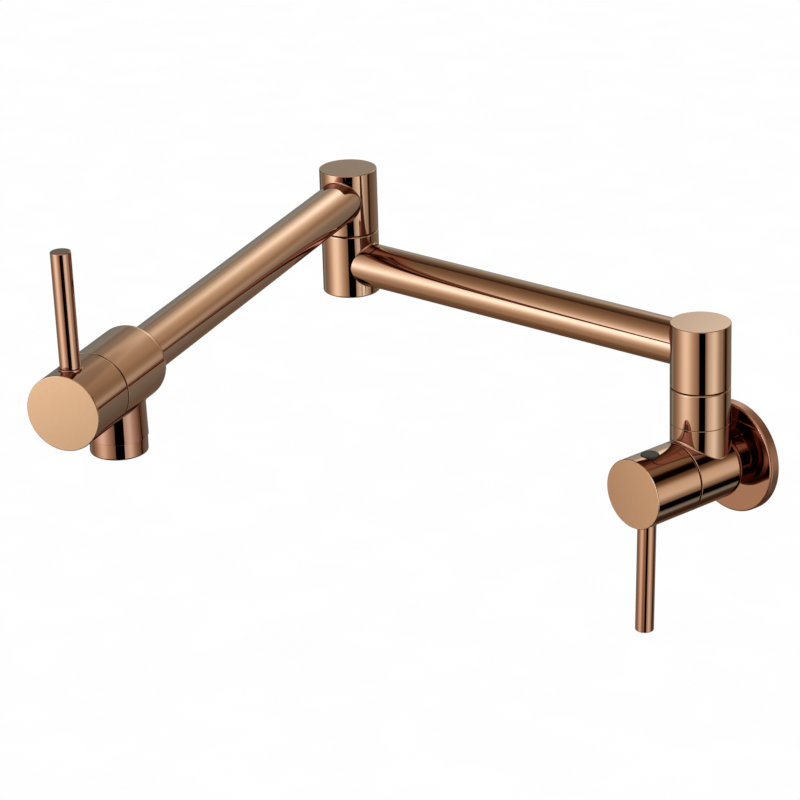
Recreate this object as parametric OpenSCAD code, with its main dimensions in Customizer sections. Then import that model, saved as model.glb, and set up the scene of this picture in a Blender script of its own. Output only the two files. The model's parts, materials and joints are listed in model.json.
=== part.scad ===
// Wall-mounted pot filler: two swing arms, with a quarter-turn valve at the wall and one at the spout.
// The wall is the plane Y = 0 and the tap stands out from it towards -Y. X runs along the wall, Z is up.
// The origin is the centre of the wall flange's back face, on the axis of the inlet.

/* [Arms] */
// Distance from the wall to the upright axis that the inner arm swings on
riser_out = 28; // [26:0.5:40]
// Length of the inner arm, from the wall's swing axis to the elbow's
inner_reach = 240; // [150:1:350]
// Length of the outer arm, from the elbow's axis to the outlet's
outer_reach = 289.5; // [180:0.5:400]
// Outside diameter of both swing tubes
tube_d = 24; // [21:0.5:25]
// Wall thickness of both swing tubes
tube_wall = 1.5; // [1:0.1:2.5]
// Angle of the inner arm away from the wall as it is left
inner_angle = 8.5; // [0:0.5:90]
// Angle that the outer arm turns off the inner arm's line as it is left
elbow_angle = 107.7; // [0:0.1:170]

/* [Knuckles] */
// Diameter of the upright knuckles, of the riser and of its nut
knuckle_d = 32; // [31:0.5:36]
// Height of the riser's top above the inlet axis
riser_h = 27.1; // [26:0.1:40]
// Height of the nut between the riser and the inner arm
nut_h = 20; // [18:0.5:30]
// Height of the knuckle at the wall end of the inner arm
inner_knuckle_h = 35; // [33:0.5:50]
// Height of the inner tube's axis above the bottom of that knuckle
inner_tube_rise = 20.5; // [20:0.1:22]
// Height of the elbow's lower knuckle
elbow_lower_h = 36; // [35:0.5:50]
// Depth of the inner tube's axis below the elbow's seam
inner_tube_drop = 18.4; // [18:0.1:20]
// Height of the elbow's upper knuckle
elbow_upper_h = 35.4; // [34:0.1:50]
// Height of the outer tube's axis above the elbow's seam
outer_tube_rise = 19.3; // [19:0.1:21]
// Wall thickness of the knuckles around their chambers
knuckle_wall = 3.5; // [3:0.1:4]
// Height of the chambers beyond the tube's bore, above and below
chamber_spare = 0.3; // [0.1:0.1:0.5]
// Depth that a tube end is let into a knuckle's wall
tube_let_in = 2; // [1:0.1:2.5]
// Open seam between two pieces that swing on each other
swing_seam = 0.5; // [0.3:0.05:1]
// Distance that a glide ring stays back inside its seam
glide_recess = 1; // [0.3:0.1:1.5]

/* [Wall swivel] */
// Diameter of the swivel that turns in the riser
swivel_d = 18.4; // [17:0.1:19]
// Water bore of that swivel
swivel_bore_d = 13; // [10:0.5:14]
// Diameter of the thread that the riser's nut screws onto
nut_thread_d = 27; // [25:0.5:28]
// Height of that thread above the riser's top
nut_thread_h = 10; // [8:0.5:12]
// Thickness of the flange on the swivel that the nut holds down
swivel_flange_t = 3; // [2:0.1:3.5]
// Thickness of the slip washers above and below that flange
slip_washer_t = 1; // [0.5:0.1:1.2]
// Section of the O-rings on both swivels
swivel_o_ring_t = 1.8; // [1.5:0.1:2]

/* [Elbow swivel] */
// Diameter of the journal that turns in the lower knuckle
elbow_journal_d = 22.9; // [22:0.1:24]
// Metal between the tube's bore and the journal, and above the swivel's thread
elbow_land = 1; // [0.5:0.1:1.5]
// Outside diameter of the stem below the journal
elbow_stem_d = 19; // [18.5:0.5:20]
// Water bore of the elbow swivel
elbow_bore_d = 15; // [12:0.5:16]
// Diameter of the side ports in the stem
elbow_port_d = 11; // [8:0.5:12]
// Thickness of the closed floor of the stem
elbow_floor = 2; // [1:0.1:3]
// Diameter of the swivel's foot
elbow_foot_d = 16.9; // [16:0.1:17.5]
// Thickness of the ledge that the foot turns in
elbow_ledge_t = 2.2; // [1.8:0.1:2.4]
// Thickness of the snap ring under that ledge
snap_ring_t = 1; // [0.8:0.1:1.1]
// Radial width of the snap ring
snap_ring_w = 2.8; // [2:0.1:3.2]
// Depth that the snap ring sits in the foot
snap_ring_bite = 1.2; // [0.8:0.1:1.5]
// Opening between the snap ring's ends
snap_ring_gap = 5; // [3:0.5:8]
// Thickness of the elbow's bottom plug
bottom_plug_t = 2.4; // [2.2:0.1:2.6]
// Depth of the bottom plug's face inside the knuckle
bottom_plug_sunk = 0.2; // [0:0.05:0.4]
// Size across flats of the hex socket in the bottom plug
bottom_socket_af = 8; // [6:1:10]
// Depth of that hex socket
bottom_socket_deep = 1.6; // [1:0.1:2]
// Section of the O-ring around the bottom plug
bottom_o_ring_t = 1.2; // [1:0.1:1.5]

/* [Valve bodies] */
// Diameter of the lying bodies and of the handle caps
body_d = 38.1; // [37:0.1:42]
// Length of the wall body from the riser's axis to the handle's seam
body_ahead = 18; // [17:0.5:24]
// Length of the wall body from the riser's axis to its end at the wall
body_behind = 16; // [15.5:0.5:19]
// Length of the spout body from the outlet's axis to the handle's seam
spout_ahead = 22.5; // [21:0.5:28]
// Length of the spout body from the outlet's axis to its end at the tube
spout_behind = 22.5; // [20:0.5:30]
// Rounding of the shoulders at the back of both bodies
shoulder_round = 6; // [2:0.5:7]
// Depth of the valve pocket behind the handle's seam
pocket_deep = 26; // [25.5:0.5:28]
// Diameter of the valve pocket and of the headwork's thread
pocket_d = 20.4; // [20:0.1:21.5]
// Water bore that feeds each valve seat
feed_d = 13; // [10:0.5:13.5]
// Diameter of the port between the valve pocket and the riser or the outlet
port_d = 8.4; // [6:0.2:9]
// Distance of that port behind the handle's seam
port_back = 16.5; // [15.5:0.5:18]
// Metal left between the valve pocket and the bore beyond the port
port_floor = 2; // [1.5:0.1:3]
// Depth that the outer tube is let into the spout body
tube_socket = 8; // [5:0.5:9]

/* [Outlet] */
// Distance from the outer tube's axis down to the aerator's seam
outlet_drop = 31.5; // [30:0.5:45]
// Diameter that the outlet tapers to at the height of the tube's axis
outlet_top_d = 27.8; // [27:0.1:29]
// Diameter of the outlet at the aerator's seam
outlet_d = 29.6; // [29:0.1:31]
// Bore of the outlet above the aerator
outlet_bore_d = 21; // [20:0.5:22]
// Diameter of the aerator's housing
aerator_d = 28.8; // [28:0.1:30]
// Visible height of the aerator's housing
aerator_h = 8.4; // [7:0.1:12]
// Rounding of the housing's lower edge
aerator_round = 1; // [0.4:0.1:1.5]
// Diameter of the aerator's thread
aerator_thread_d = 24; // [23.6:0.1:25]
// Height of the aerator's thread
aerator_thread_h = 6; // [4:0.5:7]
// Diameter of the mouth that the water leaves by
mouth_d = 19.6; // [19:0.1:20]
// Thickness of the housing's lip around the mouth
mouth_lip = 1.2; // [1:0.1:2]
// Diameter of the aerator's insert
insert_d = 21.4; // [21.2:0.1:22]
// Wall thickness of the insert
insert_wall = 1.2; // [1:0.1:1.5]
// Thickness of the insert's jet plate
jet_plate_t = 1.6; // [1:0.1:2.5]
// Diameter of the jet holes
jet_d = 1.8; // [1:0.1:2]
// Distance from one jet hole to the next
jet_pitch = 2.7; // [2.4:0.1:2.9]
// Rings of jet holes around the middle one
jet_rings = 3; // [1:1:3]
// Thickness of the screen above the insert
screen_t = 1.2; // [0.8:0.1:2]
// Diameter of the holes in the screen
screen_hole_d = 2.4; // [1:0.1:3]
// Distance of those holes from the middle
screen_hole_out = 6; // [5:0.1:7]
// Number of holes in the screen
screen_holes = 8; // [4:1:10]
// Thickness of the rubber washer above the aerator
aerator_washer_t = 1.8; // [1:0.1:2]

/* [Headwork] */
// Diameter of the nose that holds the ceramic discs
nose_d = 18; // [17.6:0.1:18.6]
// Bore of the nose
nose_bore_d = 15; // [14.6:0.1:15.4]
// Length of the thread that screws into the body
headwork_thread = 10; // [8:0.5:10.5]
// Thickness of each ceramic disc
disc_t = 2.5; // [2:0.1:2.7]
// Diameter of the two ports in each disc
disc_port_d = 5; // [4:0.1:5.2]
// Distance of those ports from the disc's middle
disc_port_out = 4; // [3.5:0.1:4.2]
// Thickness of the seat seal
seat_seal_t = 1.5; // [1.2:0.1:1.8]
// Height of the seat seal's lip inside the nose
seal_lip = 1; // [0.6:0.1:1.2]
// Diameter of the four side ports of the nose
side_port_d = 5.4; // [4:0.1:5.6]
// Diameter of the headwork's collar on the body's face
collar_d = 25; // [24.6:0.1:26]
// Thickness of that collar
collar_t = 1.5; // [1:0.1:2]
// Size across flats of the headwork's hexagon
hex_af = 20; // [18:0.5:21]
// Height of the hexagon's top above the seam
hex_top = 6; // [4:0.5:7]
// Diameter of the gland around the spindle
gland_d = 16; // [14:0.5:17]
// Height of the gland's end above the seam
gland_top = 12; // [10:0.5:12.5]
// Section of the O-ring under the collar
collar_o_ring_t = 1.4; // [1.2:0.1:1.5]
// Diameter of the spindle
spindle_d = 10; // [9:0.1:10.4]
// Thickness of the spindle's flange
spindle_flange_t = 1.5; // [1:0.1:1.6]
// Diameter of the two fingers that turn the moving disc
finger_d = 2.4; // [2:0.1:2.6]
// Distance of the fingers from the spindle's axis
finger_out = 5.6; // [5:0.1:5.8]
// Depth that the fingers reach into the moving disc
finger_bite = 1; // [0.5:0.1:1.5]
// Section of the spindle's O-rings
spindle_o_ring_t = 1.6; // [1.2:0.1:1.8]
// Diameter of the spindle's toothed end
spline_d = 8; // [7:0.1:8.4]
// Teeth of that end
spline_teeth = 20; // [12:1:24]
// Diameter of the round grooves between the teeth
spline_groove_d = 0.7; // [0.4:0.1:0.8]

/* [Handles] */
// Length of both handle caps
cap_len = 32; // [30:0.5:40]
// Wall thickness of the caps around the headwork
cap_wall = 4.5; // [3.5:0.1:5]
// Depth of the hollow in the caps
cap_hollow = 14; // [13:0.5:15]
// Depth of the toothed hole beyond that hollow
hub_deep = 11; // [10:0.5:12]
// Open seam between a cap and its body
cap_seam = 0.4; // [0.2:0.05:0.8]
// Diameter of the lever rods
lever_d = 10; // [8:0.5:11]
// Distance of the levers behind the cap's face
lever_inset = 11; // [9:0.5:11.5]
// Distance from the wall handle's axis to the end of its lever
wall_lever_reach = 81.5; // [50:0.5:120]
// Distance from the spout handle's axis to the end of its lever
spout_lever_reach = 77.4; // [50:0.5:120]
// Depth of the flat that a lever stands on
lever_flat = 0.7; // [0.3:0.05:0.9]
// Diameter of the low collar at a lever's foot
lever_foot_d = 11.6; // [11.2:0.1:12.5]
// Height of that collar above the cap's crown
lever_foot_h = 0.5; // [0.3:0.1:1]
// Diameter of the stud that screws a lever into its cap
stud_d = 6; // [5:0.5:7]
// Length of that stud
stud_len = 8.6; // [6:0.1:9]
// Distance of the grub screw behind the cap's face
screw_inset = 12; // [11:0.5:12.5]
// Diameter of the grub screw
screw_d = 5; // [4:0.5:6]
// Length of the grub screw
screw_len = 8; // [6:0.5:9]
// Size across flats of the grub screw's hex socket
screw_socket_af = 2.5; // [2:0.5:3]
// Depth of that socket
screw_socket_deep = 2.5; // [1.5:0.5:3]
// Diameter of the plug over the grub screw
plug_d = 9.8; // [8:0.1:11]
// Depth that the plug is let into the cap
plug_deep = 3; // [2.5:0.1:4]
// Height of the plug's top above the cap's crown
plug_proud = 0.45; // [0.2:0.05:1]
// Turn of the wall handle off straight down as it is left
wall_handle_angle = -1.9; // [-10:0.1:10]
// Turn of the spout handle off straight up as it is left
spout_handle_angle = 1.1; // [-10:0.1:10]

/* [Wall flange and inlet] */
// Diameter of the wall flange
flange_d = 61; // [56:1:80]
// Thickness of the wall flange
flange_t = 6; // [5:0.5:8]
// Thickness of the flange's front plate
flange_plate = 2; // [1.5:0.1:2.5]
// Width of the flange's rim against the wall
flange_rim = 3.5; // [2.5:0.1:5]
// Rounding of the flange's front edge
flange_round = 1.2; // [0.5:0.1:1.8]
// Width of the flange's hub around the neck
flange_hub = 4; // [3:0.1:5]
// Section of the O-ring that grips the neck
flange_o_ring_t = 2; // [1.5:0.1:2.2]
// Width of the foam gasket behind the flange
gasket_w = 4; // [2:0.5:5]
// Diameter of the body's neck
neck_d = 25; // [24:0.5:27]
// Distance that the neck ends short of the wall's face
neck_short = 1; // [0.5:0.1:1.5]
// Diameter of the inlet's pipe thread
inlet_thread_d = 20.96; // [20.5:0.01:21.5]
// Diameter of the thread that holds the nipple in the neck
inlet_grip_d = 19.4; // [18:0.1:20]
// Length of the inlet nipple behind the wall's face
inlet_len = 15; // [10:0.5:30]
// Length of the nipple from the wall's face to its end in the neck
inlet_grip = 9; // [7:0.5:10]
// Rounding of the nipple's ends
inlet_round = 0.8; // [0.3:0.1:1]
// Thickness of the sealing washer at the nipple's inner end
inlet_washer_t = 1.5; // [1:0.1:2]
// Size across flats of the hex socket in the nipple
inlet_socket_af = 14.4; // [14:0.1:15.5]
// Depth of that hex socket
inlet_socket_deep = 6; // [4:0.5:8]

/* [Edges and fits] */
// Rounding of the outer edges
edge = 0.4; // [0.2:0.05:0.6]
// Rounding of the edges at a seam
seam_edge = 0.25; // [0.1:0.05:0.4]
// Rounding of the lower lip of a swing seam, and of a cap's edge at its seam
lip_round = 0.9; // [0.4:0.1:1.1]
// Rounding of the elbow's bottom edge
foot_round = 1; // [0.4:0.1:2]
// Gap around a piece that turns in another
turning_fit = 0.05; // [0.02:0.01:0.1]
// Gap around a piece that is screwed or pushed into another
fixed_fit = 0.05; // [0.02:0.01:0.1]
// Gap around a turning piece that nothing has to guide
free_gap = 0.3; // [0.2:0.05:0.5]
// Gap left at the end of a turning piece
end_gap = 1; // [0.5:0.1:1.5]

/* [Hidden] */
$fn = 96;

// Overrun of every cut
over = 1;

// Colours
rose_gold = "#c68d70";
raw_brass = "#c9a55a";
rubber = "#2b2b2d";
white_plastic = "#e9e7e1";
grey_plastic = "#55565a";
ceramic = "#d9d5cb";
steel = "#a9abad";

// Radii
tube_r = tube_d / 2;
tube_bore_r = tube_r - tube_wall;
knuckle_r = knuckle_d / 2;
chamber_r = knuckle_r - knuckle_wall;
tube_seat_r = knuckle_r - tube_let_in;
swivel_r = swivel_d / 2;
nut_thread_r = nut_thread_d / 2;
swivel_flange_r = nut_thread_r - free_gap;
elbow_journal_r = elbow_journal_d / 2;
elbow_stem_r = elbow_stem_d / 2;
elbow_foot_r = elbow_foot_d / 2;
snap_seat_r = elbow_foot_r - snap_ring_bite;
bottom_plug_r = chamber_r - fixed_fit;
body_r = body_d / 2;
pocket_r = pocket_d / 2;
feed_r = feed_d / 2;
port_r = port_d / 2;
outlet_r = outlet_d / 2;
aerator_thread_r = aerator_thread_d / 2;
insert_r = insert_d / 2;
nose_r = nose_d / 2;
nose_bore_r = nose_bore_d / 2;
disc_r = nose_bore_r - turning_fit;
spindle_r = spindle_d / 2;
spline_r = spline_d / 2;
lever_r = lever_d / 2;
screw_r = screw_d / 2;
plug_r = plug_d / 2;
flange_r = flange_d / 2;
neck_r = neck_d / 2;
inlet_thread_r = inlet_thread_d / 2;
inlet_grip_r = inlet_grip_d / 2;

// Directions of the arms, counted from +X towards +Y
inner_dir = 180 + inner_angle;
outer_dir = inner_dir + elbow_angle;

// Heights above the inlet axis
nut_top = riser_h + nut_h;
inner_z = nut_top + inner_tube_rise;
elbow_seam_z = inner_z + inner_tube_drop;
elbow_bottom_z = elbow_seam_z - elbow_lower_h;
outer_z = elbow_seam_z + outer_tube_rise;
outlet_seam_z = outer_z - outlet_drop;
mouth_z = outlet_seam_z - aerator_h;

// Places along the axes of the two valve bodies
body_front = riser_out + body_ahead;
body_back = riser_out - body_behind;
spout_front = outer_reach + spout_ahead;
spout_back = outer_reach - spout_behind;
half_cap_seam = cap_seam / 2;
half_swing_seam = swing_seam / 2;

// The elbow's axis
elbow_x = inner_reach * cos(inner_dir);
elbow_y = inner_reach * sin(inner_dir) - riser_out;

// Width of an O-ring's groove, as a share of the ring's section
groove_share = 1.2;
// Places of a pair of O-rings along the length that they share
pair_shares = [0.27, 0.73];

// Stack of the wall swivel
riser_floor_z = pocket_r + port_floor;
nut_thread_top = riser_h + nut_thread_h;
swivel_foot_z = riser_floor_z + end_gap;
swivel_flange_z = nut_thread_top + slip_washer_t + turning_fit;
upper_washer_z = swivel_flange_z + swivel_flange_t + turning_fit;
nut_lip_z = upper_washer_z + slip_washer_t;

// Stack of the elbow
inner_floor_z = inner_z - tube_bore_r - chamber_spare;
outer_floor_z = outer_z - tube_bore_r - chamber_spare;
journal_z = inner_z + tube_bore_r + elbow_land;
elbow_ledge_z = inner_floor_z - elbow_ledge_t;
snap_ring_z = elbow_ledge_z - turning_fit - snap_ring_t;
elbow_foot_z = snap_ring_z - snap_ring_t / 2;
bottom_plug_z = elbow_bottom_z + bottom_plug_sunk;

// Stack of a headwork, counted outwards from its handle's seam
face_z = -half_cap_seam;
nose_z = seat_seal_t - pocket_deep;
fixed_disc_z = nose_z + seal_lip;
moving_disc_z = fixed_disc_z + disc_t + turning_fit;
moving_disc_top = moving_disc_z + disc_t;
spindle_flange_z = -headwork_thread - turning_fit - spindle_flange_t;
side_port_z = (moving_disc_top + spindle_flange_z) / 2;
spindle_top = cap_hollow + hub_deep - edge;

// A bar from one height to another
module rod(r, z0, z1) {
  translate([0, 0, z0])
    cylinder(r = r, h = z1 - z0);
}

// A tube from one height to another
module pipe(r_out, r_in, z0, z1) {
  difference() {
    rod(r_out, z0, z1);
    rod(r_in, z0 - over, z1 + over);
  }
}

// A turned bar with both outer edges rounded
module turned(r, z0, z1, e0, e1) {
  rotate_extrude()
    union() {
      translate([0, z0 + e0])
        square([r, z1 - z0 - e0 - e1]);
      translate([0, z0])
        square([r - e0, e0]);
      translate([0, z1 - e1])
        square([r - e1, e1]);
      translate([r - e0, z0 + e0])
        intersection() {
          circle(r = e0);
          translate([0, -e0])
            square([e0, e0]);
        }
      translate([r - e1, z1 - e1])
        intersection() {
          circle(r = e1);
          square([e1, e1]);
        }
    }
}

// A hexagonal prism given by its size across flats
module hexagon(across, z0, z1) {
  translate([0, 0, z0])
    cylinder(r = across / 2 / cos(30), h = z1 - z0, $fn = 6);
}

// An O-ring around a bar of radius r, level with its skin
module o_ring(r, z, section) {
  translate([0, 0, z])
    rotate_extrude()
      translate([r - section / 2, 0])
        circle(d = section);
}

// The groove that such an O-ring lies in
module o_groove(r, z, section) {
  half = section * groove_share / 2;
  pipe(r + over, r - section - fixed_fit, z - half, z + half);
}

// Two O-rings, or with cut their grooves, on the length from z0 to z1
module o_pair(r, z0, z1, section, cut = false) {
  for (share = pair_shares)
    if (cut)
      o_groove(r, z0 + share * (z1 - z0), section);
    else
      o_ring(r, z0 + share * (z1 - z0), section);
}

// Frame of the wall body and its handle: local Z runs out from the wall, local Y is up
module wall_axis(out = 0) {
  translate([0, -out, 0])
    rotate([90, 0, 0])
      children();
}

// The same frame on the outer arm, where out is counted from the elbow's axis
module spout_axis(out = 0) {
  translate([elbow_x, elbow_y, outer_z])
    rotate([0, 0, outer_dir + 90])
      wall_axis(out)
        children();
}

module at_riser() {
  translate([0, -riser_out, 0])
    children();
}

module at_elbow() {
  translate([elbow_x, elbow_y, 0])
    children();
}

module at_outlet() {
  translate([elbow_x + outer_reach * cos(outer_dir), elbow_y + outer_reach * sin(outer_dir), 0])
    children();
}

// Local Z runs along the tube and local X points down
module along_inner() {
  translate([0, -riser_out, inner_z])
    rotate([0, 90, inner_dir])
      children();
}

module along_outer() {
  translate([elbow_x, elbow_y, outer_z])
    rotate([0, 90, outer_dir])
      children();
}

// Frame of the wall handle and of the spout handle, on their own seams
module wall_handle_frame() {
  wall_axis(body_front)
    rotate([0, 0, wall_handle_angle])
      children();
}

module spout_handle_frame() {
  spout_axis(spout_front)
    rotate([0, 0, spout_handle_angle])
      children();
}

// In a handle's frame, local Z runs outwards through the cap's skin: side is 1 for up, -1 for down
module radial(z, side) {
  translate([0, 0, z])
    rotate([-90 * side, 0, 0])
      children();
}

// An upright cylinder on a tube's start, in the tube's frame
module upright(r) {
  rotate([0, 90, 0])
    rod(r, -tube_r - over, tube_r + over);
}

// The hollow that lets a tube's start into a knuckle's wall and opens its bore
module tube_mouth() {
  rod(tube_bore_r, 0, knuckle_r + over);
  difference() {
    rod(tube_r + fixed_fit, 0, knuckle_r + over);
    upright(tube_seat_r - fixed_fit);
  }
}

// A tube of a given length that starts on a knuckle's axis
module swing_tube(length) {
  difference() {
    rod(tube_r, 0, length);
    rod(tube_bore_r, -over, length + over);
    upright(tube_seat_r);
    children();
  }
}

// Everything that a valve body is bored out by for its headwork, in the seam's frame
module valve_pocket(feed_from) {
  mouth_r = pocket_r + collar_o_ring_t + fixed_fit;
  rod(pocket_r, -pocket_deep, over);
  rod(mouth_r, face_z - collar_o_ring_t - fixed_fit, over);
  rod(feed_r, feed_from, over - pocket_deep);
}

// Threaded body of the headwork, with its collar, hexagon, nose and gland
module headwork() {
  color(raw_brass)
    difference() {
      union() {
        rod(nose_r, nose_z, -headwork_thread);
        rod(pocket_r - fixed_fit, -headwork_thread, face_z);
        rod(collar_d / 2, face_z, face_z + collar_t);
        hexagon(hex_af, face_z, hex_top);
        rod(gland_d / 2, face_z, gland_top);
      }
      rod(nose_bore_r, nose_z - over, -headwork_thread);
      rod(spindle_r + turning_fit, -headwork_thread - over, gland_top + over);
      for (turn = [0, 90])
        translate([0, 0, side_port_z])
          rotate([90, 0, turn])
            rod(side_port_d / 2, -nose_r - over, nose_r + over);
    }
}

module headwork_o_ring() {
  color(rubber)
    o_ring(pocket_r + collar_o_ring_t, face_z - collar_o_ring_t / 2 - fixed_fit / 2, collar_o_ring_t);
}

// Rubber seal between the fixed disc and the valve seat
module seat_seal() {
  color(rubber)
    difference() {
      union() {
        rod(nose_r, -pocket_deep, nose_z);
        rod(nose_bore_r - fixed_fit, nose_z, fixed_disc_z);
      }
      rod(feed_r, -pocket_deep - over, fixed_disc_z + over);
    }
}

// A ceramic disc with two ports on a line that is turned by a given angle
module ceramic_disc(z, turn) {
  difference() {
    rod(disc_r, z, z + disc_t);
    for (side = [-1, 1])
      rotate([0, 0, turn])
        translate([side * disc_port_out, 0, 0])
          rod(disc_port_d / 2, z - over, z + disc_t + over);
  }
}

module fixed_disc() {
  color(ceramic)
    ceramic_disc(fixed_disc_z, 0);
}

// Closed, the moving disc's ports stand across those of the fixed disc
module moving_disc() {
  color(ceramic)
    difference() {
      ceramic_disc(moving_disc_z, 90);
      for (side = [-1, 1])
        translate([side * finger_out, 0, 0])
          rod(finger_d / 2 + fixed_fit, moving_disc_top - finger_bite - fixed_fit, moving_disc_top + over);
    }
}

// Spindle with its flange, its two fingers, its O-ring grooves and its toothed end
module spindle() {
  color(raw_brass)
    difference() {
      union() {
        rod(nose_bore_r - turning_fit, spindle_flange_z, spindle_flange_z + spindle_flange_t);
        rod(spindle_r, spindle_flange_z, gland_top);
        rod(spline_r, gland_top, spindle_top);
        for (side = [-1, 1])
          translate([side * finger_out, 0, 0])
            rod(finger_d / 2, moving_disc_top - finger_bite, spindle_flange_z);
      }
      o_pair(spindle_r, face_z, gland_top, spindle_o_ring_t, cut = true);
      for (tooth = [0 : spline_teeth - 1])
        rotate([0, 0, tooth * 360 / spline_teeth])
          translate([spline_r, 0, 0])
            rod(spline_groove_d / 2, gland_top + end_gap, spindle_top + over);
    }
}

module spindle_o_rings() {
  color(rubber)
    o_pair(spindle_r, face_z, gland_top, spindle_o_ring_t);
}

// Handle cap with its lever on the given side and its grub screw opposite
module handle_cap(side) {
  color(rose_gold)
    difference() {
      turned(body_r, half_cap_seam, cap_len, lip_round, edge);
      rod(body_r - cap_wall, half_cap_seam - over, cap_hollow);
      rod(spline_r + fixed_fit, cap_hollow - over, cap_hollow + hub_deep);
      radial(cap_len - lever_inset, side) {
        rod(lever_foot_d / 2 + fixed_fit, body_r - lever_flat, body_r + over);
        rod(stud_d / 2 + fixed_fit, body_r - lever_flat - stud_len - fixed_fit, body_r);
      }
      radial(cap_len - screw_inset, -side) {
        rod(screw_r + fixed_fit, 0, body_r);
        rod(plug_r + fixed_fit, body_r - plug_deep, body_r + over);
      }
    }
}

module lever(side, reach) {
  color(rose_gold)
    radial(cap_len - lever_inset, side) {
      turned(lever_r, body_r - lever_flat, reach, edge, edge);
      turned(lever_foot_d / 2, body_r - lever_flat, body_r + lever_foot_h, seam_edge, seam_edge);
      rod(stud_d / 2, body_r - lever_flat - stud_len, body_r);
    }
}

module grub_screw(side) {
  tip = spline_r + fixed_fit;
  color(steel)
    radial(cap_len - screw_inset, -side)
      difference() {
        turned(screw_r, tip, tip + screw_len, edge, edge);
        hexagon(screw_socket_af, tip + screw_len - screw_socket_deep, tip + screw_len + over);
      }
}

module screw_plug(side) {
  color(grey_plastic)
    radial(cap_len - screw_inset, -side)
      turned(plug_r, body_r - plug_deep, body_r + plug_proud, edge, edge);
}

// Wall flange, hollow behind, with a hub around the neck
module wall_flange() {
  bore_r = neck_r + fixed_fit;
  half_groove = flange_o_ring_t * groove_share / 2;
  color(rose_gold)
    wall_axis()
      difference() {
        turned(flange_r, 0, flange_t, edge, flange_round);
        pipe(flange_r - flange_rim, bore_r + flange_hub, -over, flange_t - flange_plate);
        rod(bore_r, -over, flange_t + over);
        rod(bore_r + flange_o_ring_t + fixed_fit, flange_t / 2 - half_groove, flange_t / 2 + half_groove);
      }
}

module flange_gasket() {
  rim_r = flange_r - flange_rim - fixed_fit;
  color(rubber)
    wall_axis()
      pipe(rim_r, rim_r - gasket_w, 0, flange_t - flange_plate);
}

module flange_o_ring() {
  color(rubber)
    wall_axis()
      o_ring(neck_r + fixed_fit + flange_o_ring_t, flange_t / 2, flange_o_ring_t);
}

// Wall body: the lying valve body, its neck and its riser with the nut's thread
module valve_body() {
  color(rose_gold)
    difference() {
      union() {
        wall_axis() {
          turned(body_r, body_back, body_front - half_cap_seam, shoulder_round, seam_edge);
          rod(neck_r, neck_short, body_back + shoulder_round);
        }
        at_riser() {
          turned(knuckle_r, 0, riser_h, seam_edge, seam_edge);
          rod(nut_thread_r, 0, nut_thread_top);
        }
      }
      wall_axis(body_front)
        valve_pocket(inlet_grip - body_front);
      wall_axis()
        rod(inlet_grip_r + fixed_fit, neck_short - over, inlet_grip + inlet_washer_t);
      at_riser()
        rod(swivel_r + turning_fit, riser_floor_z, nut_thread_top + over);
      translate([0, port_back - body_front, 0])
        rod(port_r, 0, riser_floor_z + over);
    }
}

module inlet_nipple() {
  color(raw_brass)
    wall_axis()
      difference() {
        turned(inlet_thread_r, -inlet_len, inlet_grip, inlet_round, inlet_round);
        pipe(inlet_thread_r + over, inlet_grip_r, 0, inlet_grip + over);
        rod(feed_r, -inlet_len - over, inlet_grip + over);
        hexagon(inlet_socket_af, inlet_grip - inlet_socket_deep, inlet_grip + over);
      }
}

module inlet_washer() {
  color(rubber)
    wall_axis()
      pipe(inlet_grip_r, feed_r, inlet_grip, inlet_grip + inlet_washer_t);
}

module wall_headwork() {
  wall_axis(body_front)
    headwork();
}

module wall_headwork_o_ring() {
  wall_axis(body_front)
    headwork_o_ring();
}

module wall_seat_seal() {
  wall_axis(body_front)
    seat_seal();
}

module wall_fixed_disc() {
  wall_axis(body_front)
    fixed_disc();
}

// Nut that holds the inner arm's swivel down on the riser
module riser_nut() {
  color(rose_gold)
    at_riser()
      difference() {
        turned(knuckle_r, riser_h, nut_top - half_swing_seam, seam_edge, lip_round);
        rod(nut_thread_r + fixed_fit, riser_h - over, nut_lip_z);
        rod(swivel_r + turning_fit, nut_lip_z - over, nut_top + over);
      }
}

module riser_slip_washers() {
  color(white_plastic)
    at_riser()
      for (z = [nut_thread_top, upper_washer_z])
        pipe(swivel_flange_r, swivel_r + free_gap, z, z + slip_washer_t);
}

module riser_glide_ring() {
  color(rubber)
    at_riser()
      pipe(knuckle_r - glide_recess, swivel_r + free_gap,
           nut_top - half_swing_seam, nut_top + half_swing_seam - turning_fit);
}

module wall_spindle() {
  wall_handle_frame()
    spindle();
}

module wall_spindle_o_rings() {
  wall_handle_frame()
    spindle_o_rings();
}

module wall_moving_disc() {
  wall_handle_frame()
    moving_disc();
}

module wall_handle_cap() {
  wall_handle_frame()
    handle_cap(-1);
}

module wall_lever() {
  wall_handle_frame()
    lever(-1, wall_lever_reach);
}

module wall_grub_screw() {
  wall_handle_frame()
    grub_screw(-1);
}

module wall_screw_plug() {
  wall_handle_frame()
    screw_plug(-1);
}

// Knuckle at the wall end of the inner arm
module inner_knuckle() {
  color(rose_gold)
    difference() {
      at_riser()
        turned(knuckle_r, nut_top + half_swing_seam, nut_top + inner_knuckle_h, seam_edge, edge);
      at_riser() {
        rod(swivel_r + fixed_fit, nut_top, inner_floor_z + over);
        rod(chamber_r, inner_floor_z, inner_z + tube_bore_r + chamber_spare);
      }
      along_inner()
        tube_mouth();
    }
}

module riser_swivel() {
  color(raw_brass)
    at_riser()
      difference() {
        union() {
          rod(swivel_r, swivel_foot_z, inner_floor_z);
          rod(swivel_flange_r, swivel_flange_z, swivel_flange_z + swivel_flange_t);
        }
        rod(swivel_bore_d / 2, swivel_foot_z - over, inner_floor_z + over);
        o_pair(swivel_r, swivel_foot_z, nut_thread_top, swivel_o_ring_t, cut = true);
      }
}

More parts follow.
